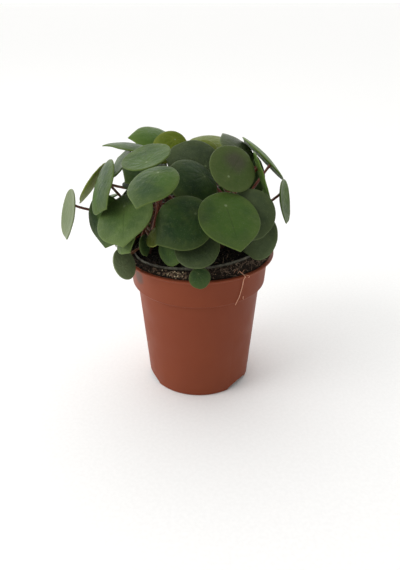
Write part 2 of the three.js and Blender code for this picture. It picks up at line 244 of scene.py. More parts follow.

# Blade tones, linear: the main colour, its second colour, the edge and the underside. Most are lit and
# shaded copies of one green, each blade given the one that matches how light falls on it, so a blade's
# lightness is partly painted light and shade; the young, olive and bronzed hues are the blades' own.
TONES = {
    "deep": ((0.013, 0.032, 0.011), (0.026, 0.056, 0.013), (0.070, 0.098, 0.024), (0.022, 0.040, 0.009)),
    "dark": ((0.020, 0.044, 0.012), (0.034, 0.068, 0.016), (0.070, 0.098, 0.026), (0.045, 0.085, 0.022)),
    "mid": ((0.027, 0.057, 0.016), (0.048, 0.096, 0.016), (0.090, 0.130, 0.030), (0.055, 0.100, 0.020)),
    "light": ((0.048, 0.086, 0.022), (0.074, 0.124, 0.028), (0.110, 0.155, 0.044), (0.070, 0.120, 0.026)),
    "grey": ((0.044, 0.062, 0.026), (0.058, 0.078, 0.033), (0.085, 0.112, 0.040), (0.060, 0.095, 0.026)),
    # A lit copy of grey: painted light.
    "lit_grey": ((0.056, 0.080, 0.036), (0.070, 0.096, 0.044), (0.095, 0.125, 0.050), (0.060, 0.095, 0.030)),
    "shade": ((0.030, 0.046, 0.019), (0.042, 0.060, 0.026), (0.075, 0.100, 0.036), (0.050, 0.080, 0.024)),
    # The pale tone is painted light: the bright sheen of blades that catch the light or mirror it.
    "pale": ((0.125, 0.160, 0.075), (0.145, 0.180, 0.090), (0.175, 0.210, 0.105), (0.150, 0.195, 0.090)),
    "bright": ((0.052, 0.110, 0.012), (0.070, 0.132, 0.016), (0.110, 0.165, 0.030), (0.050, 0.100, 0.012)),
    # The olive underside is raised to paint light shining through the blade.
    "olive": ((0.105, 0.140, 0.022), (0.125, 0.155, 0.026), (0.150, 0.175, 0.040), (0.250, 0.300, 0.060)),
    "bronzed": ((0.044, 0.074, 0.018), (0.056, 0.088, 0.022), (0.085, 0.112, 0.034), (0.060, 0.095, 0.026)),
    "young": ((0.082, 0.116, 0.006), (0.105, 0.140, 0.008), (0.155, 0.180, 0.022), (0.100, 0.145, 0.010)),
}
# The tone whose blades carry a bronze patch, the patch's middle across and along the blade, and its colour.
BRONZED_TONE = "bronzed"
BRONZE_PLACE = (0.03, 0.36)
BRONZE_COLOUR = (0.058, 0.056, 0.036)
# Fine light specks on the blades: partly the blades' own dust and hairs, partly painted glints of light.
DUST_AND_GLINT_COLOUR = (0.17, 0.20, 0.12)
# The petiole spot's colour, and how clear it is; on the deep, dark and shade tones it is dimmed along with
# the painted shade of those blades.
SPOT_COLOUR = (0.17, 0.22, 0.11)
SPOT_SHARE = 0.8
SPOT_SHARES = {"deep": 0.35, "dark": 0.5, "shade": 0.4}
# Blades whose tip is round.
BLUNT_LEAVES = {
    "leaf_02", "leaf_06", "leaf_19", "leaf_20", "leaf_21", "leaf_23", "leaf_24", "leaf_25", "leaf_26",
}
LEAF_SLOTS = {"young": "young_leaf", "olive": "olive_leaf"}

# Colours of the other materials, linear. Where there are two, the surface varies between them.
POT_COLOURS = ((0.190, 0.043, 0.018), (0.208, 0.049, 0.020))
POT_SPECK_COLOUR = (0.16, 0.055, 0.030)
SMUDGE_COLOUR = (0.075, 0.050, 0.038)
SOIL_COLOURS = ((0.006, 0.0045, 0.0035), (0.034, 0.022, 0.014))
SOIL_SPECK_COLOUR = (0.085, 0.058, 0.038)
STALK_COLOURS = ((0.120, 0.026, 0.014), (0.200, 0.060, 0.030))
STALK_GREEN = (0.150, 0.120, 0.045)
BARK_COLOURS = ((0.040, 0.015, 0.010), (0.095, 0.044, 0.027))
BARK_SPECK_COLOUR = (0.160, 0.110, 0.080)
RING_COLOURS = ((0.090, 0.088, 0.062), (0.030, 0.025, 0.017))
GRAIN_COLOURS = {
    # The crumbs inside the ring: the soil's own dark peat, darkened to near-black as painted shade under the
    # leaves.
    "crumb_black_shaded": ((0.004, 0.0035, 0.003), (0.012, 0.009, 0.006)),
    "crumb_dark": ((0.008, 0.006, 0.005), (0.040, 0.026, 0.017)),
    "clod": ((0.014, 0.010, 0.007), (0.070, 0.046, 0.030)),
    "bark_chip": ((0.090, 0.056, 0.034), (0.220, 0.150, 0.098)),
    "pale_grain": ((0.420, 0.330, 0.190), (0.700, 0.600, 0.400)),
    "fibre_skin": ((0.150, 0.100, 0.065), (0.280, 0.210, 0.150)),
    "root_skin": ((0.620, 0.290, 0.170), (0.740, 0.400, 0.270)),
}
CRUMB_ROUGHNESS = 0.95
# The middle of the soil smudge on the band, in metres.
SMUDGE_PLACE = (-0.0455, -0.0305, 0.105)

# How fine and how high a grain's lumps are, and the number of different grains.
GRAIN_LUMPS, GRAIN_SWELL = 1.3, 0.45
GRAIN_SHAPES = 9

# Fibres on the soil: their number, how often one lies inside the ring, their sizes, and how high over the
# soil they start and stay.
FIBRE_COUNT = 90
INSIDE_FIBRE_EVERY = 12
FIBRE_LENGTHS = (3, 8)
FIBRE_RADII = (0.08, 0.18)
FIBRE_START_LIFT, FIBRE_LIFT = 0.2, 0.15

# The dry root: its main line, its branch, a loose bit against the band and three curls. Each has its
# thickness, and its places: the turn from the front in degrees, the distance from the middle and the height.
ROOT_TAPER = 0.45
ROOT_LINES = [
    (0.38, [(32.6, 53.5, 117.4), (33.2, 56, 116.8), (33.9, 58.6, 115.7), (34.3, 60.3, 114.4),
            (35.2, 57.6, 110.8), (35.8, 55.9, 105.5), (35.2, 55.4, 101.5), (34.2, 55.1, 97.6),
            (33.7, 54.9, 95.4), (31.8, 54.7, 92), (30.6, 54.3, 89.2)]),
    (0.22, [(34, 58.6, 115.7), (36.4, 60.2, 115.1), (38.2, 60.3, 113.6), (39.2, 58.2, 111.4)]),
    (0.26, [(38.2, 54.6, 94.6), (37.8, 54.7, 93), (38.5, 54.5, 91.9)]),
    (0.15, [(33.4, 56, 116.6), (32.2, 56.6, 118), (30.6, 57, 117.6), (30, 56.6, 116.2)]),
    (0.15, [(32, 54, 117.2), (30.4, 54.6, 119), (28.2, 55.4, 118.2), (27, 55.6, 116.6)]),
    (0.15, [(34.2, 57, 116.2), (35.8, 56.4, 117.8), (37.6, 55.6, 117.2)]),
]

SEED = 7
rng = random.Random(SEED)


# Helpers for meshes and node trees

def add_mesh(name, points, faces, smooth=True):
    """A new object from points in millimetres."""
    mesh = bpy.data.meshes.new(name)
    mesh.from_pydata([Vector(p) * MM for p in points], [], faces)
    mesh.polygons.foreach_set("use_smooth", [smooth] * len(mesh.polygons))
    mesh.update()
    piece = bpy.data.objects.new(name, mesh)
    bpy.context.scene.collection.objects.link(piece)
    return piece


def add_attribute(piece, name, values):
    """Stores a number for each point, which the piece's material reads."""
    layer = piece.data.attributes.new(name, "FLOAT", "POINT")
    layer.data.foreach_set("value", values)


def dress(piece, material, slot, *nodes):
    """Gives a piece its material, and lets it ride and stand for CAD nodes. The slot is not used."""
    piece.data.materials.append(material)
    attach(piece, "root")
    if nodes:
        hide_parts(*nodes)
    return piece


class Graph:
    """Short calls for a material's node tree."""

    def __init__(self, name):
        self.material = bpy.data.materials.new(name)
        self.material.use_nodes = True
        self.tree = self.material.node_tree
        self.shader = self.tree.nodes["Principled BSDF"]

    def node(self, kind, **values):
        made = self.tree.nodes.new(kind)
        for key, value in values.items():
            setattr(made, key, value)
        return made

    def feed(self, socket, value):
        if isinstance(value, bpy.types.NodeSocket):
            self.tree.links.new(value, socket)
        else:
            socket.default_value = value

    def maths(self, operation, *values, clamp=False):
        made = self.node("ShaderNodeMath", operation=operation, use_clamp=clamp)
        for socket, value in zip(made.inputs, values):
            self.feed(socket, value)
        return made.outputs[0]

    def ramp(self, value, low, high, start=0.0, end=1.0):
        """Carries low to start and high to end, smoothly, and stays there outside them."""
        made = self.node("ShaderNodeMapRange", interpolation_type="SMOOTHSTEP")
        for socket, number in zip(made.inputs, (value, low, high, start, end)):
            self.feed(socket, number)
        return made.outputs[0]

    def mix(self, share, first, second):
        made = self.node("ShaderNodeMix", data_type="RGBA")
        self.feed(made.inputs[0], share)
        for socket, value in ((made.inputs[6], first), (made.inputs[7], second)):
            self.feed(socket, (*value, 1) if isinstance(value, tuple) else value)
        return made.outputs[2]

    def place(self):
        return self.node("ShaderNodeTexCoord").outputs["Object"]

    def noise(self, scale, detail=3.0, rough=0.5, where=None):
        made = self.node("ShaderNodeTexNoise")
        made.inputs["Scale"].default_value = scale
        made.inputs["Detail"].default_value = detail
        made.inputs["Roughness"].default_value = rough
        self.feed(made.inputs["Vector"], where or self.place())
        return made.outputs[0]

    def value(self, name):
        return self.node("ShaderNodeAttribute", attribute_name=name).outputs["Fac"]

    def bump(self, height, distance, strength=1.0):
        made = self.node("ShaderNodeBump")
        made.inputs["Strength"].default_value = strength
        made.inputs["Distance"].default_value = distance
        self.feed(made.inputs["Height"], height)
        self.feed(self.shader.inputs["Normal"], made.outputs[0])

    def finish(self, colour, rough, **constants):
        self.feed(self.shader.inputs["Base Color"], colour)
        self.feed(self.shader.inputs["Roughness"], rough)
        for key, value in constants.items():
            self.shader.inputs[key.replace("_", " ")].default_value = value
        return self.material


# Camera, floor and lights

def add_camera():
    data = bpy.data.cameras.new("camera")
    data.sensor_width = SENSOR_WIDTH
    data.lens = data.sensor_width * FOCAL_PIXELS / LONG_SIDE_PIXELS
    data.clip_start, data.clip_end = CAMERA_RANGE
    camera = bpy.data.objects.new("camera", data)
    camera.location = Vector(CAMERA_PLACE) * MM
    camera.rotation_euler = (math.pi / 2 - CAMERA_PITCH, 0, 0)
    bpy.context.scene.collection.objects.link(camera)
    bpy.context.scene.camera = camera


def add_floor():
    half = FLOOR_HALF_WIDTH
    floor = add_mesh("floor", [(-half, -half, 0), (half, -half, 0), (half, half, 0), (-half, half, 0)],
                     [(0, 1, 2, 3)], smooth=False)
    graph = Graph("floor_paper")
    grain = graph.ramp(graph.noise(400), 0.3, 0.7)
    floor.data.materials.append(graph.finish(graph.mix(grain, *FLOOR_COLOURS), 0.9))


def add_key_light():
    data = bpy.data.lights.new("key", "AREA")
    data.shape = "DISK"
    data.size = KEY_WIDTH
    data.energy = KEY_POWER
    light = bpy.data.objects.new("key", data)
    light.location = KEY_PLACE
    light.rotation_euler = (Vector(KEY_TARGET) - Vector(KEY_PLACE)).to_track_quat("-Z", "Y").to_euler()
    bpy.context.scene.collection.objects.link(light)


def add_world():
    """A soft white surround, brightest low down at the back left and dimmer overhead and in front."""
    world = bpy.data.worlds.new("surround")
    world.use_nodes = True
    tree = world.node_tree
    background = tree.nodes["Background"]
    place = tree.nodes.new("ShaderNodeTexCoord")
    facing = tree.nodes.new("ShaderNodeVectorMath")
    facing.operation = "DOT_PRODUCT"
    facing.inputs[1].default_value = Vector(BRIGHT_SIDE).normalized()
    level = tree.nodes.new("ShaderNodeMapRange")
    level.inputs["From Min"].default_value = -1.0
    level.inputs["From Max"].default_value = 1.0
    level.inputs["To Min"].default_value, level.inputs["To Max"].default_value = SURROUND_RANGE
    tree.links.new(place.outputs["Generated"], facing.inputs[0])
    tree.links.new(facing.outputs["Value"], level.inputs["Value"])
    tree.links.new(level.outputs[0], background.inputs["Strength"])
    background.inputs["Color"].default_value = SURROUND_COLOUR
    bpy.context.scene.world = world


def add_stage():
    add_camera()
    add_floor()
    add_world()
    add_key_light()
    settings = bpy.context.scene.view_settings
    settings.view_transform = "Standard"
    settings.look = "None"


# Materials

def leaf_material(tone):
    main, second, edge, under = TONES[tone]
    graph = Graph("leaf_" + tone)
    across, along = graph.value("across"), graph.value("along")
    reach, below = graph.value("reach"), graph.value("below")
    radius = graph.maths("SQRT", graph.maths("ADD", graph.maths("MULTIPLY", across, across),
                                             graph.maths("MULTIPLY", along, along)))
    turn = graph.maths("ARCTAN2", across, along)
    # The veins run as in vein_depth.
    bend = graph.maths("SUBTRACT", 1.0, graph.maths("MULTIPLY", radius, VEIN_BEND))
    ray = graph.maths("PINGPONG", graph.maths("DIVIDE", turn, bend), math.radians(VEIN_ANGLE / 2))
    vein = graph.ramp(graph.maths("MULTIPLY", ray, radius), 0.0, 0.010, 1.0, 0.0)
    vein = graph.maths("MULTIPLY", vein, graph.ramp(reach, 0.30, 0.90, 1.0, 0.1))
    spot = graph.ramp(radius, 0.012, 0.028, 1.0, 0.0)
    halo = graph.ramp(radius, 0.03, 0.14, 0.22, 0.0)
    # The pale margin is partly the blade's own edge colour and partly painted light glowing through the thin
    # edge.
    rim_and_glow = graph.ramp(reach, 0.965, 0.995, 0.0, 0.8)
    patch = graph.ramp(graph.noise(38, 2.0), 0.38, 0.62)
    # Fine light specks: dust and hairs, and painted glints of light.
    dust_and_glint = graph.ramp(graph.noise(1100, 2.0, 0.7), 0.60, 0.74, 0.0, 0.35)
    colour = graph.mix(patch, main, second)
    mottle = graph.ramp(graph.noise(210, 4.0, 0.65), 0.45, 0.75, 0.0, 0.35)
    colour = graph.mix(mottle, colour, edge)
    if tone == BRONZED_TONE:
        offsets = [graph.maths("SUBTRACT", *pair) for pair in zip((across, along), BRONZE_PLACE)]
        squares = [graph.maths("MULTIPLY", offset, offset) for offset in offsets]
        away = graph.maths("SQRT", graph.maths("ADD", *squares))
        ragged = graph.maths("ADD", away, graph.maths("MULTIPLY", graph.noise(90, 3.0), 0.16))
        colour = graph.mix(graph.ramp(ragged, 0.14, 0.40, 0.85, 0.0), colour, BRONZE_COLOUR)
    colour = graph.mix(dust_and_glint, colour, DUST_AND_GLINT_COLOUR)
    # The midrib is a darker line from the petiole to the tip.
    midrib = graph.ramp(graph.maths("ABSOLUTE", across), 0.0, 0.016, 0.38, 0.0)
    midrib = graph.maths("MULTIPLY", midrib, graph.ramp(along, 0.02, 0.08))
    midrib = graph.maths("MULTIPLY", midrib, graph.ramp(along, 0.35, 0.68, 1.0, 0.0))
    colour = graph.mix(midrib, colour, tuple(part * 0.5 for part in main))
    colour = graph.mix(graph.maths("MULTIPLY", vein, 0.14), colour, edge)
    colour = graph.mix(halo, colour, edge)
    colour = graph.mix(graph.ramp(reach, 0.62, 0.97, 0.0, 0.38), colour, edge)
    colour = graph.mix(rim_and_glow, colour, edge)
    spot = graph.maths("MULTIPLY", spot, SPOT_SHARES.get(tone, SPOT_SHARE))
    colour = graph.mix(spot, colour, SPOT_COLOUR)
    colour = graph.mix(graph.maths("MULTIPLY", below, 0.9), colour, under)
    fine = graph.noise(1300, 2.0)
    swell = graph.noise(320, 3.0)
    height = graph.maths("ADD", graph.maths("MULTIPLY", fine, 0.3), swell)
    graph.bump(height, 0.0009, 0.55)
    rough = graph.ramp(graph.noise(120, 3.0), 0.3, 0.7, 0.40, 0.52)
    return graph.finish(colour, rough, Specular_IOR_Level=0.11)


def pot_material():
    graph = Graph("terracotta_plastic")
    cloud = graph.ramp(graph.noise(18, 3.0), 0.3, 0.7)
    colour = graph.mix(cloud, *POT_COLOURS)
    # A soil smudge on the band, and fine specks all over.
    place = graph.place()
    offset = graph.node("ShaderNodeVectorMath", operation="DISTANCE")
    graph.feed(offset.inputs[0], place)
    offset.inputs[1].default_value = SMUDGE_PLACE
    fray = graph.maths("MULTIPLY", graph.noise(260, 4.0), 0.006)
    ragged = graph.maths("ADD", offset.outputs["Value"], fray)
    smudge = graph.ramp(ragged, 0.0065, 0.0105, 0.75, 0.0)
    colour = graph.mix(smudge, colour, SMUDGE_COLOUR)
    specks = graph.ramp(graph.noise(700, 2.0, 0.8), 0.70, 0.78, 0.0, 0.35)
    colour = graph.mix(specks, colour, POT_SPECK_COLOUR)
    graph.bump(graph.maths("ADD", graph.noise(900, 2.0), graph.noise(60, 2.0)), 0.0003, 0.15)
    rough = graph.ramp(graph.noise(45, 4.0), 0.3, 0.7, 0.42, 0.54)
    return graph.finish(colour, rough, Specular_IOR_Level=0.12)


def soil_material():
    graph = Graph("potting_mix")
    coarse = graph.ramp(graph.noise(320, 5.0, 0.7), 0.35, 0.7)
    fine = graph.ramp(graph.noise(1400, 3.0, 0.7), 0.45, 0.75)
    colour = graph.mix(coarse, *SOIL_COLOURS)
    colour = graph.mix(graph.maths("MULTIPLY", fine, 0.35), colour, SOIL_SPECK_COLOUR)
    graph.bump(graph.noise(700, 5.0, 0.7), 0.001, 0.8)
    return graph.finish(colour, 0.95, Specular_IOR_Level=0.2)


def grain_material(name, rough=0.85):
    graph = Graph(name)
    share = graph.ramp(graph.noise(420, 3.0, 0.6), 0.3, 0.7)
    graph.bump(graph.noise(1600, 3.0), 0.0004, 0.6)
    return graph.finish(graph.mix(share, *GRAIN_COLOURS[name]), rough, Specular_IOR_Level=0.25)


def stalk_material():
    graph = Graph("petiole_skin")
    streak = graph.node("ShaderNodeMapping")
    streak.inputs["Scale"].default_value = (1, 1, 0.15)
    graph.feed(streak.inputs["Vector"], graph.place())
    lines = graph.ramp(graph.noise(900, 3.0, 0.6, streak.outputs[0]), 0.35, 0.7)
    colour = graph.mix(lines, *STALK_COLOURS)
    green = graph.ramp(graph.noise(22, 2.0), 0.52, 0.72, 0.0, 0.45)
    colour = graph.mix(green, colour, STALK_GREEN)
    graph.bump(lines, 0.0003, 0.3)
    return graph.finish(colour, 0.42, Specular_IOR_Level=0.4)


def bark_material():
    graph = Graph("stem_bark")
    cork = graph.ramp(graph.noise(260, 5.0, 0.65), 0.35, 0.7)
    colour = graph.mix(cork, *BARK_COLOURS)
    pale = graph.ramp(graph.noise(700, 3.0, 0.7), 0.62, 0.74, 0.0, 0.7)
    colour = graph.mix(pale, colour, BARK_SPECK_COLOUR)
    graph.bump(graph.noise(800, 4.0, 0.7), 0.0006, 0.6)
    return graph.finish(colour, 0.7, Specular_IOR_Level=0.3)


def ring_material():
    graph = Graph("ring_strip")
    dirt = graph.ramp(graph.noise(180, 5.0, 0.65), 0.40, 0.62)
    colour = graph.mix(dirt, *RING_COLOURS)
    graph.bump(graph.noise(900, 3.0), 0.0003, 0.4)
    return graph.finish(colour, 0.6, Specular_IOR_Level=0.35)


# Solids of revolution

def rounded(points, radii, steps=4, most=0.45):
    """Rounds the corners of an open outline with curves, which take at most a share of each side."""
    result = [points[0]]
    for before, corner, after, radius in zip(points, points[1:], points[2:], radii):
        here = Vector(corner)
        back = Vector(before) - here
        ahead = Vector(after) - here
        cut = min(radius, back.length * most, ahead.length * most)
        first = here + back.normalized() * cut
        last = here + ahead.normalized() * cut
        for i in range(steps + 1):
            t = i / steps
            result.append(tuple(first * (1 - t) ** 2 + here * 2 * t * (1 - t) + last * t ** 2))
    result.append(points[-1])
    return result


def turned(name, profile, segments, move=None):
    """Turns a profile of (radius, height) points round Z, from axis to axis. Move shifts those off it."""
    points = []
    for i in range(segments):
        turn = 2 * math.pi * i / segments
        for radius, height in profile[1:-1]:
            point = Vector((radius * math.cos(turn), radius * math.sin(turn), height))
            points.append(move(point) if move else point)
    rows = len(profile) - 2
    first, last = len(points), len(points) + 1
    points += [Vector((0, 0, profile[0][1])), Vector((0, 0, profile[-1][1]))]
    faces = []
    for i in range(segments):
        here, there = i * rows, ((i + 1) % segments) * rows
        faces.append((first, there, here))
        for j in range(rows - 1):
            faces.append((here + j, there + j, there + j + 1, here + j + 1))
        faces.append((last, here + rows - 1, there + rows - 1))
    return add_mesh(name, points, faces)


def inner_profile(clearance):
    """The pot's inside, from the floor up to the lip."""
    inset = WALL_THICKNESS + clearance
    return [
        (WALL_FOOT_RADIUS - inset, FLOOR_THICKNESS + clearance),
        (WALL_TOP_RADIUS - inset, BAND_FOOT_HEIGHT - BAND_STEP_DROP + clearance),
        (BAND_FOOT_RADIUS - inset, BAND_FOOT_HEIGHT + WALL_THICKNESS + clearance),
        (BAND_TOP_RADIUS - inset, POT_HEIGHT - LIP_THICKNESS - COVE_DROP),
    ]


def cut_scallops(piece):
    """Cuts the three shallow scallops out of the foot."""
    cutters = []
    for degrees in SCALLOP_TURNS:
        turn = math.radians(degrees)
        bpy.ops.mesh.primitive_uv_sphere_add(segments=48, ring_count=24, radius=1)
        cutter = bpy.context.object
        cutter.scale = Vector((SCALLOP_HALF_WIDTH, SCALLOP_HALF_WIDTH, SCALLOP_HEIGHT)) * MM
        cutter.location = Vector((math.sin(turn), -math.cos(turn), 0)) * SCALLOP_CENTRE_RADIUS * MM
        change = piece.modifiers.new("scallop", "BOOLEAN")
        change.operation = "DIFFERENCE"
        change.object = cutter
        cutters.append(cutter)
    apply_modifiers(piece)
    for cutter in cutters:
        bpy.data.objects.remove(cutter)


def apply_modifiers(piece):
    graph = bpy.context.evaluated_depsgraph_get()
    mesh = bpy.data.meshes.new_from_object(piece.evaluated_get(graph))
    mesh.set_sharp_from_angle(angle=math.radians(SHARP_ANGLE))
    piece.modifiers.clear()
    piece.data = mesh


def add_pot():
    lip_foot = POT_HEIGHT - LIP_THICKNESS
    # The radius, height and rounding of each corner, from the foot up the outside to the lip's inner edge.
    corners = [
        (WALL_FOOT_RADIUS, 0, FOOT_ROUNDING),
        (WALL_TOP_RADIUS, BAND_FOOT_HEIGHT - BAND_STEP_DROP, BAND_ROUNDING),
        (BAND_FOOT_RADIUS - BAND_EASE_IN, BAND_FOOT_HEIGHT - BAND_EASE_DOWN, EASE_ROUNDING),
        (BAND_FOOT_RADIUS, BAND_FOOT_HEIGHT, BAND_ROUNDING),
        (BAND_TOP_RADIUS, lip_foot - COVE_DROP, COVE_ROUNDING),
        (LIP_RADIUS - LIP_EASE_IN, lip_foot - LIP_EASE_DOWN, BAND_ROUNDING),
        (LIP_RADIUS, lip_foot + LIP_EDGE_RISE, EASE_ROUNDING),
        (LIP_RADIUS, POT_HEIGHT, LIP_ROUNDING),
        (LIP_INNER_RADIUS, POT_HEIGHT, LIP_ROUNDING),
    ]
    inside = list(reversed(inner_profile(0)))
    outline = [(0, 0), *((radius, height) for radius, height, _ in corners), *inside, (0, FLOOR_THICKNESS)]
    radii = [rounding for _, _, rounding in corners]
    radii += [COVE_ROUNDING] + [INSIDE_ROUNDING] * (len(inside) - 1)
    pot = turned("pot_body", rounded(outline, radii), POT_SEGMENTS)
    cut_scallops(pot)
    return dress(pot, pot_material(), "pot_plastic", "pot")


# Soil, grains, fibres, ring and root

def tilt(x, y):
    """How much higher the mound stands at a place than in its middle."""
    return RISE_TO_RIGHT * x - RISE_TO_FRONT * y


def mound_height(x, y):
    """The height of the mound's surface at a place, without its roughness."""
    radius = math.hypot(x, y)
    steps = [
        (0, MOUND_HEIGHT),
        (RING_RADIUS / 2, MOUND_HEIGHT),
        (RING_RADIUS - BROW_INSET, MOUND_HEIGHT - BROW_DROP),
        (RING_RADIUS - HOLLOW_INSET, SHOULDER_HEIGHT),
        (SHOULDER_RADIUS, SHOULDER_HEIGHT),
        (SOIL_EDGE_RADIUS, SOIL_EDGE_HEIGHT),
    ]
    share = min(1, max(0, (SOIL_EDGE_RADIUS - radius) / (SOIL_EDGE_RADIUS - SHOULDER_RADIUS)))
    for (r0, z0), (r1, z1) in zip(steps, steps[1:]):
        if radius <= r1:
            return z0 + (z1 - z0) * (radius - r0) / (r1 - r0) + share * tilt(x, y)
    return SOIL_EDGE_HEIGHT


def crumbled(point):
    """Lifts a point that the profile leaves below the floor onto the mound, with its roughness."""
    if point.z >= 0:
        return point
    x, y = point.x, point.y
    rough = 0
    for level, scale, smoothness, octaves, height in MOUND_LAYERS:
        rough += noise.fractal(Vector((x, y, level)) * scale, smoothness, MOUND_LACUNARITY, octaves) * height
    radius = math.hypot(x, y)
    if DAMPED_FROM < radius < DAMPED_TO:
        rough = min(rough, GAP) * DAMPED_SHARE
    elif radius > SHOULDER_RADIUS:
        rough = max(rough, 0) * SLOPE_SHARE
    return Vector((x, y, mound_height(x, y) + rough))


def add_soil():
    inside = inner_profile(GAP)
    wall_radius, wall_top = inside[-1]
    ring_count = int(SOIL_EDGE_RADIUS / MOUND_MESH_STEP)
    to_be_lifted = -1
    profile = [
        (0, inside[0][1]),
        *inside,
        (wall_radius, wall_top + SOIL_EDGE_STEP),
        (SOIL_EDGE_RADIUS, SOIL_EDGE_HEIGHT),
        *((MOUND_MESH_STEP * i, to_be_lifted) for i in range(ring_count, 0, -1)),
        (0, MOUND_HEIGHT),
    ]
    soil = turned("soil_mound", profile, MOUND_SEGMENTS, crumbled)
    return dress(soil, soil_material(), "potting_soil", "soil")


def grain_shape(flat, seed_place):
    """The points and faces of one lumpy grain of radius 1, an icosahedron pulled out of shape."""
    golden = (1 + 5 ** 0.5) / 2
    corners = []
    for a, b in ((1, golden), (-1, golden), (1, -golden), (-1, -golden)):
        corners += [(a, b, 0), (0, a, b), (b, 0, a)]
    corners = [Vector(c).normalized() for c in corners]
    # A little over the length of an icosahedron's edge.
    edge = 1.06
    faces = []
    for i in range(12):
        for j in range(i + 1, 12):
            for k in range(j + 1, 12):
                a, b, c = corners[i], corners[j], corners[k]
                if max((a - b).length, (b - c).length, (c - a).length) < edge:
                    outward = (b - a).cross(c - a).dot(a) > 0
                    faces.append((i, j, k) if outward else (i, k, j))
    points = []
    for corner in corners:
        swell = 1 + GRAIN_SWELL * noise.noise(corner * GRAIN_LUMPS + seed_place)
        points.append(Vector((corner.x, corner.y * (1 - flat * 0.5), corner.z * (1 - flat))) * swell)
    return points, faces


def scatter(name, count, sizes, flat, area, material, lift=0.3):
    """Grains strewn over the mound. Area gives a place (x, y) for each, and lift its height in its radii."""
    points, faces = [], []
    shapes = [grain_shape(flat, Vector((i * 7.3, 1.1, 2.2))) for i in range(GRAIN_SHAPES)]
    for i in range(count):
        x, y = area()
        shape, sides = shapes[i % len(shapes)]
        size = rng.uniform(*sizes)
        spin = Euler([rng.uniform(0, 6.28) for _ in range(3)]).to_matrix()
        centre = Vector((x, y, mound_height(x, y) + lift * size))
        base = len(points)
        points += [centre + spin @ (p * size) for p in shape]
        faces += [tuple(base + k for k in side) for side in sides]
    grains = add_mesh(name, points, faces, smooth=False)
    return dress(grains, material, "potting_soil")


def disc_area(low, high):
    """Places all round between two radii, evenly strewn."""
    def area():
        radius = math.sqrt(rng.uniform(low * low, high * high))
        turn = rng.uniform(0, 2 * math.pi)
        return radius * math.sin(turn), -radius * math.cos(turn)
    return area


def wedge_area(low, high, start, end):
    """Places between two radii and two turns from the front, in degrees."""
    def area():
        radius = rng.uniform(low, high)
        turn = math.radians(rng.triangular(start, end))
        return radius * math.sin(turn), -radius * math.cos(turn)
    return area


def tube(points, radii, sides):
    """The points and faces of a closed round tube along a line of points."""
    count = len(points)
    ring_points, faces = [], []
    heading = (points[1] - points[0]).normalized()
    side = heading.orthogonal().normalized()
    for i, (point, radius) in enumerate(zip(points, radii)):
        ahead = points[min(i + 1, count - 1)] - points[max(i - 1, 0)]
        turn = heading.rotation_difference(ahead)
        side.rotate(turn)
        heading = ahead.normalized()
        side = (side - heading * side.dot(heading)).normalized()
        other = heading.cross(side)
        for j in range(sides):
            angle = 2 * math.pi * j / sides
            ring_points.append(point + (side * math.cos(angle) + other * math.sin(angle)) * radius)
    for i in range(count - 1):
        for j in range(sides):
            k = (j + 1) % sides
            faces.append((i * sides + j, i * sides + k, (i + 1) * sides + k, (i + 1) * sides + j))
    faces.append(tuple(reversed(range(sides))))
    faces.append(tuple(range((count - 1) * sides, count * sides)))
    return ring_points, faces


def join_tubes(name, tubes):
    points, faces = [], []
    for some_points, some_faces in tubes:
        base = len(points)
        points += some_points
        faces += [tuple(base + k for k in face) for face in some_faces]
    return add_mesh(name, points, faces)


def curl(start, heading, length, wander, steps):
    """A wandering thread from a place, its points laid step by step."""
    points = [Vector(start)]
    heading = Vector(heading).normalized()
    for _ in range(steps):
        heading = (heading + Vector([rng.uniform(-wander, wander) for _ in range(3)])).normalized()
        points.append(points[-1] + heading * length / steps)
    return points


def add_fibres():
    tubes = []
    outer, inner = wedge_area(52.4, 55.6, -15, 75), wedge_area(42, 50, -60, 75)
    for i in range(FIBRE_COUNT):
        x, y = (inner if i % INSIDE_FIBRE_EVERY == 0 else outer)()
        start = (x, y, mound_height(x, y) + FIBRE_START_LIFT)
        turn = rng.uniform(0, 2 * math.pi)
        heading = (math.cos(turn), math.sin(turn), 0.25)
        line = curl(start, heading, length=rng.uniform(*FIBRE_LENGTHS), wander=0.45, steps=8)
        line = [Vector((p.x, p.y, max(p.z, mound_height(p.x, p.y) + FIBRE_LIFT))) for p in line]
        radius = rng.uniform(*FIBRE_RADII)
        tubes.append(tube(line, [radius] * len(line), sides=5))
    return dress(join_tubes("soil_fibres", tubes), grain_material("fibre_skin"), "potting_soil")


def add_ring():
    """The thin strip round the shoulder, a little wavy."""
    points, faces = [], []
    half = RING_THICKNESS / 2
    top_edge = RING_HEIGHT - RING_TOP_BEVEL_DOWN
    section = [
        (-half, RING_FOOT_BEVEL),
        (-half + RING_FOOT_BEVEL, 0),
        (half - RING_FOOT_BEVEL, 0),
        (half, RING_FOOT_BEVEL),
        (half, top_edge),
        (half - RING_TOP_BEVEL_IN, RING_HEIGHT),
        (-half + RING_TOP_BEVEL_IN, RING_HEIGHT),
        (-half, top_edge),
    ]
    for i in range(RING_SEGMENTS):
        turn = 2 * math.pi * i / RING_SEGMENTS
        direction = Vector((math.cos(turn), math.sin(turn), 0))
        wave = noise.noise(direction * RING_WAVES) * RING_WAVE
        for out, up in section:
            point = direction * (RING_RADIUS + out)
            height = SHOULDER_HEIGHT + RING_LIFT + up + tilt(point.x, point.y) + wave * up / RING_HEIGHT
            points.append(Vector((point.x, point.y, height)))
    count = len(section)
    for i in range(RING_SEGMENTS):
        here, there = i * count, ((i + 1) % RING_SEGMENTS) * count
        for j in range(count):
            k = (j + 1) % count
            faces.append((here + j, there + j, there + k, here + k))
    ring = add_mesh("ring_strip", points, faces)
    return dress(ring, ring_material(), "ring_plastic", "plant_ring")


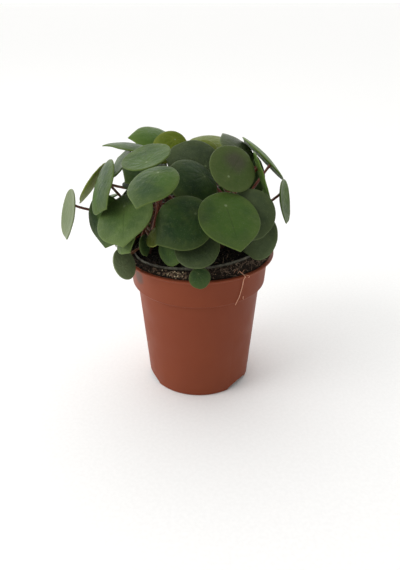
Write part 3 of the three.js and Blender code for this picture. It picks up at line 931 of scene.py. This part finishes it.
def on_pot(turn, radius, height):
    """A place from its turn from the front in degrees, its radius and its height."""
    angle = math.radians(turn)
    return Vector((radius * math.sin(angle), -radius * math.cos(angle), height))


def smooth_line(points, steps):
    """A Catmull-Rom curve through the points."""
    ends = [points[0] * 2 - points[1], *points, points[-1] * 2 - points[-2]]
    line = []
    for a, b, c, d in zip(ends, ends[1:], ends[2:], ends[3:]):
        for i in range(steps):
            t = i / steps
            line.append(0.5 * (2 * b + (c - a) * t + (2 * a - 5 * b + 4 * c - d) * t ** 2
                               + (3 * b - a - 3 * c + d) * t ** 3))
    line.append(points[-1])
    return line


def add_root():
    """A thin dry root that comes out of the soil and hangs over the lip."""
    tubes = []
    for width, places in ROOT_LINES:
        line = smooth_line([on_pot(*place) for place in places], steps=5)
        radii = [width * (1 - ROOT_TAPER * i / len(line)) for i in range(len(line))]
        tubes.append(tube(line, radii, sides=7))
    return dress(join_tubes("dry_root", tubes), grain_material("root_skin", 0.6), "potting_soil")


# Stems and petioles

def leaf_axes(heading, droop, bank):
    """The blade's directions: across it, along it to the tip, and out of its upper face."""
    h, d, b = (math.radians(angle) for angle in (heading, droop, bank))
    along = Vector((math.sin(h) * math.cos(d), -math.cos(h) * math.cos(d), -math.sin(d)))
    level = Vector((math.cos(h), math.sin(h), 0))
    across = level * math.cos(b) + along.cross(level) * math.sin(b)
    return across, along, along.cross(across)


def stem_points(foot, top, start, end, steps):
    """Points on a stem's straight line, from start to end as shares of its height over the soil."""
    low, high = Vector((*foot, SOIL_LEVEL)), Vector(top)
    return [low + (high - low) * (start + (end - start) * i / steps) for i in range(steps + 1)]


def petiole_line(foot, top, leaf, steps):
    x, y, z, heading, droop, bank = leaf[:6]
    rise, sway = leaf[8:10]
    out = leaf_axes(heading, droop, bank)[2]
    up = Vector((0, 0, 1))
    start = stem_points(foot, top, 0, rise, 1)[1]
    seat = Vector((x, y, z)) - out * (BLADE_THICKNESS / 2)
    reach = (seat - start).length
    outwards = Vector((seat.x - start.x, seat.y - start.y, 0)).normalized()
    aside = Vector((-outwards.y, outwards.x, 0))
    leaving = start + (outwards * START_OUT + up * START_UP) * START_REACH * reach + aside * sway / 2
    arriving = seat - (out * END_ALONG + up * END_UP) * END_REACH * reach + aside * sway
    line = []
    for i in range(steps + 1):
        t = i / steps
        line.append(start * (1 - t) ** 3 + leaving * 3 * t * (1 - t) ** 2
                    + arriving * 3 * t ** 2 * (1 - t) + seat * t ** 3)
    return line


def add_stem(index, foot, top, leaves, bark, skin):
    node = f"stem_{index}"
    height = (Vector(top) - Vector((*foot, SOIL_LEVEL))).length
    line = stem_points(foot, top, -STEM_DEPTH / height, 1 + STEM_OVERRUN / height, STEM_STEPS)
    # Rings where old leaves were, and a blunt end.
    radii = []
    for i in range(len(line)):
        scar = SCAR_HEIGHT * max(0, math.cos(i * SCAR_STEP)) ** 6
        end = min(1, math.sqrt(max(0.02, (len(line) - 1 - i) / 3)))
        wave = BARK_WAVE * noise.noise(Vector((i * 0.3, index, 0)))
        radii.append((STEM_RADIUS - BARK_INSET + scar + wave) * end)
    trunk = join_tubes(node + "_trunk", [tube(line, radii, STEM_SIDES)])
    dress(trunk, bark, "stem", node)
    tubes = []
    for leaf in leaves:
        line = petiole_line(foot, top, leaf, PETIOLE_STEPS)
        radii = []
        for i in range(PETIOLE_STEPS + 1):
            t = i / PETIOLE_STEPS
            flare = FOOT_FLARE * max(0, 1 - t * FOOT_FLARE_FALL)
            flare += SEAT_FLARE * max(0, (t - SEAT_FLARE_START) / SEAT_FLARE_SHARE)
            radii.append(PETIOLE_RADIUS * (1 - PETIOLE_TAPER * t) + flare)
        tubes.append(tube(line, radii, PETIOLE_SIDES))
    stalks = join_tubes(node + "_petioles", tubes)
    dress(stalks, skin, "stem", node)


# Blades

def blunted(point, limit):
    """Brings a point of the outline back to at most a limit from the middle of its circle."""
    middle = Vector((0, BLADE_WIDTH / 2 - PETIOLE_PLACE))
    offset = point - middle
    return middle + offset.normalized() * min(offset.length, limit)


def blade_outline(count):
    """The outline for a length of 1: a circle drawn out to a point, with the petiole at the origin."""
    radius = BLADE_WIDTH / 2
    shoulder = math.acos(radius / (1 - radius))
    arc = 2 * (math.pi - shoulder)
    side = math.sqrt((1 - radius) ** 2 - radius ** 2)
    total = arc * radius + 2 * side
    tip = Vector((0, 1 - PETIOLE_PLACE))

    def on_circle(turn):
        return Vector((radius * math.sin(turn), radius * math.cos(turn) + radius - PETIOLE_PLACE))

    points = []
    for i in range(count):
        walked = total * i / count
        if walked < side:
            points.append(tip.lerp(on_circle(shoulder), walked / side))
        elif walked < total - side:
            points.append(on_circle(shoulder + (walked - side) / radius))
        else:
            mirror = points[count - i]
            points.append(Vector((-mirror.x, mirror.y)))
    return points


def vein_depth(u, v):
    """How deep the veins lie at a place on a blade of length 1: 1 on a vein, 0 between them."""
    radius = math.hypot(u, v)
    turn = math.atan2(u, v) / (1 - VEIN_BEND * radius)
    step = math.radians(VEIN_ANGLE)
    off = abs((turn + step / 2) % step - step / 2) * radius
    return max(0, 1 - off / VEIN_HALF_WIDTH) * min(1, radius / VEIN_START) * max(0, 1 - radius / VEIN_END)


def unevenness(u, v, count, level):
    """Smooth noise over a blade of length 1, with a count of waves over its length."""
    return noise.noise(Vector((u * count, v * count, level)))


def blade_drop(leaf, u, v):
    """How far the bowl of a blade lies below its petiole's end, across the blade's plane."""
    length, fall = leaf[6:8]
    return fall * (u * u + v * v) * length * length / (length / 2) ** 2


def add_blade(name, leaf, material):
    x, y, z, heading, droop, bank, length = leaf[:7]
    across, along, out = leaf_axes(heading, droop, bank)
    place = Vector((x, y, z))
    count = BLADE_OUTLINE_POINTS
    limit = BLUNT_LIMIT if name in BLUNT_LEAVES else POINTED_LIMIT
    outline = [blunted(point, limit) for point in blade_outline(count)]
    half = BLADE_THICKNESS / 2
    wobble = rng.uniform(0, 50)
    points, faces = [], []
    record = {"across": [], "along": [], "reach": [], "below": []}

    def add_point(u, v, share, side):
        swell = unevenness(u, v, SWELL_COUNT, wobble) * SWELL_HEIGHT * length * share
        ripple = unevenness(u, v, RIPPLE_COUNT, wobble + 9) * RIPPLE_HEIGHT * length
        groove = VEIN_DEPTH * vein_depth(u, v)
        thick = half * RIM_SHARES.get(share, 1.0)
        lift = side * thick - blade_drop(leaf, u, v) + (swell + ripple * share) * QUILT_SHARE - groove
        points.append(place + across * (u * length) + along * (v * length) + out * lift)
        for key, value in (("across", u), ("along", v), ("reach", share), ("below", 0.5 - side / 2)):
            record[key].append(value)

    for side in (1, -1):
        add_point(0, 0, 0, side)
        for share in BLADE_RINGS:
            for u, v in outline:
                edge = 1 + EDGE_WAVE * unevenness(u, v, EDGE_COUNT, wobble)
                add_point(u * share * edge, v * share * edge, share, side)
    layer = 1 + count * len(BLADE_RINGS)
    for i in range(count):
        k = (i + 1) % count
        faces.append((0, 1 + i, 1 + k))
        faces.append((layer, layer + 1 + k, layer + 1 + i))
        for ring in range(1, len(BLADE_RINGS)):
            near, far = 1 + (ring - 1) * count, 1 + ring * count
            faces.append((near + i, far + i, far + k, near + k))
            faces.append((layer + near + i, layer + near + k, layer + far + k, layer + far + i))
        edge = layer - count
        faces.append((edge + i, layer + edge + i, layer + edge + k, edge + k))
    blade = add_mesh("blade_" + name[-2:], points, faces)
    for key, values in record.items():
        add_attribute(blade, key, values)
    return dress(blade, material, LEAF_SLOTS.get(leaf[-1], "leaf"), name)


def add_plant():
    materials = {tone: leaf_material(tone) for tone in TONES}
    bark, skin = bark_material(), stalk_material()
    number = 0
    for index, (foot, top, leaves) in enumerate(STEMS, 1):
        add_stem(index, foot, top, leaves, bark, skin)
        for leaf in leaves:
            number += 1
            add_blade(f"leaf_{number:02d}", leaf, materials[leaf[-1]])


def add_soil_top():
    add_soil()
    black_shaded = grain_material("crumb_black_shaded", CRUMB_ROUGHNESS)
    dark = grain_material("crumb_dark", CRUMB_ROUGHNESS)
    clod = grain_material("clod", CRUMB_ROUGHNESS)
    chip = grain_material("bark_chip")
    pale = grain_material("pale_grain")
    # Each set has its number of grains, their radii, how flat they are, where they lie and their material.
    # Near-black crumbs inside the ring: dark peat, and painted shade under the leaves.
    scatter("crumbs_inside", 2900, (0.4, 1.3), 0.2, disc_area(0, 50), black_shaded)
    scatter("chips_inside", 60, (0.4, 1.1), 0.55, disc_area(30, 50), chip)
    scatter("crumbs_edge", 1500, (0.35, 1.0), 0.2, disc_area(52.4, 56.2), dark)
    scatter("chips_edge", 150, (0.35, 0.9), 0.5, disc_area(52.6, 56.0), chip)
    scatter("lumps_edge", 110, (0.9, 1.7), 0.3, disc_area(52.8, 55.6), clod, lift=0.1)
    scatter("chips_front", 130, (0.5, 1.3), 0.4, wedge_area(52.6, 56.0, -44, 14), chip)
    scatter("pale_grains", 40, (0.4, 1.05), 0.4, wedge_area(52.6, 55.4, -32, -6), pale)
    scatter("pale_specks", 60, (0.2, 0.4), 0.4, disc_area(52, 56), pale)
    add_fibres()


add_stage()
add_pot()
add_soil_top()
add_ring()
add_root()
add_plant()
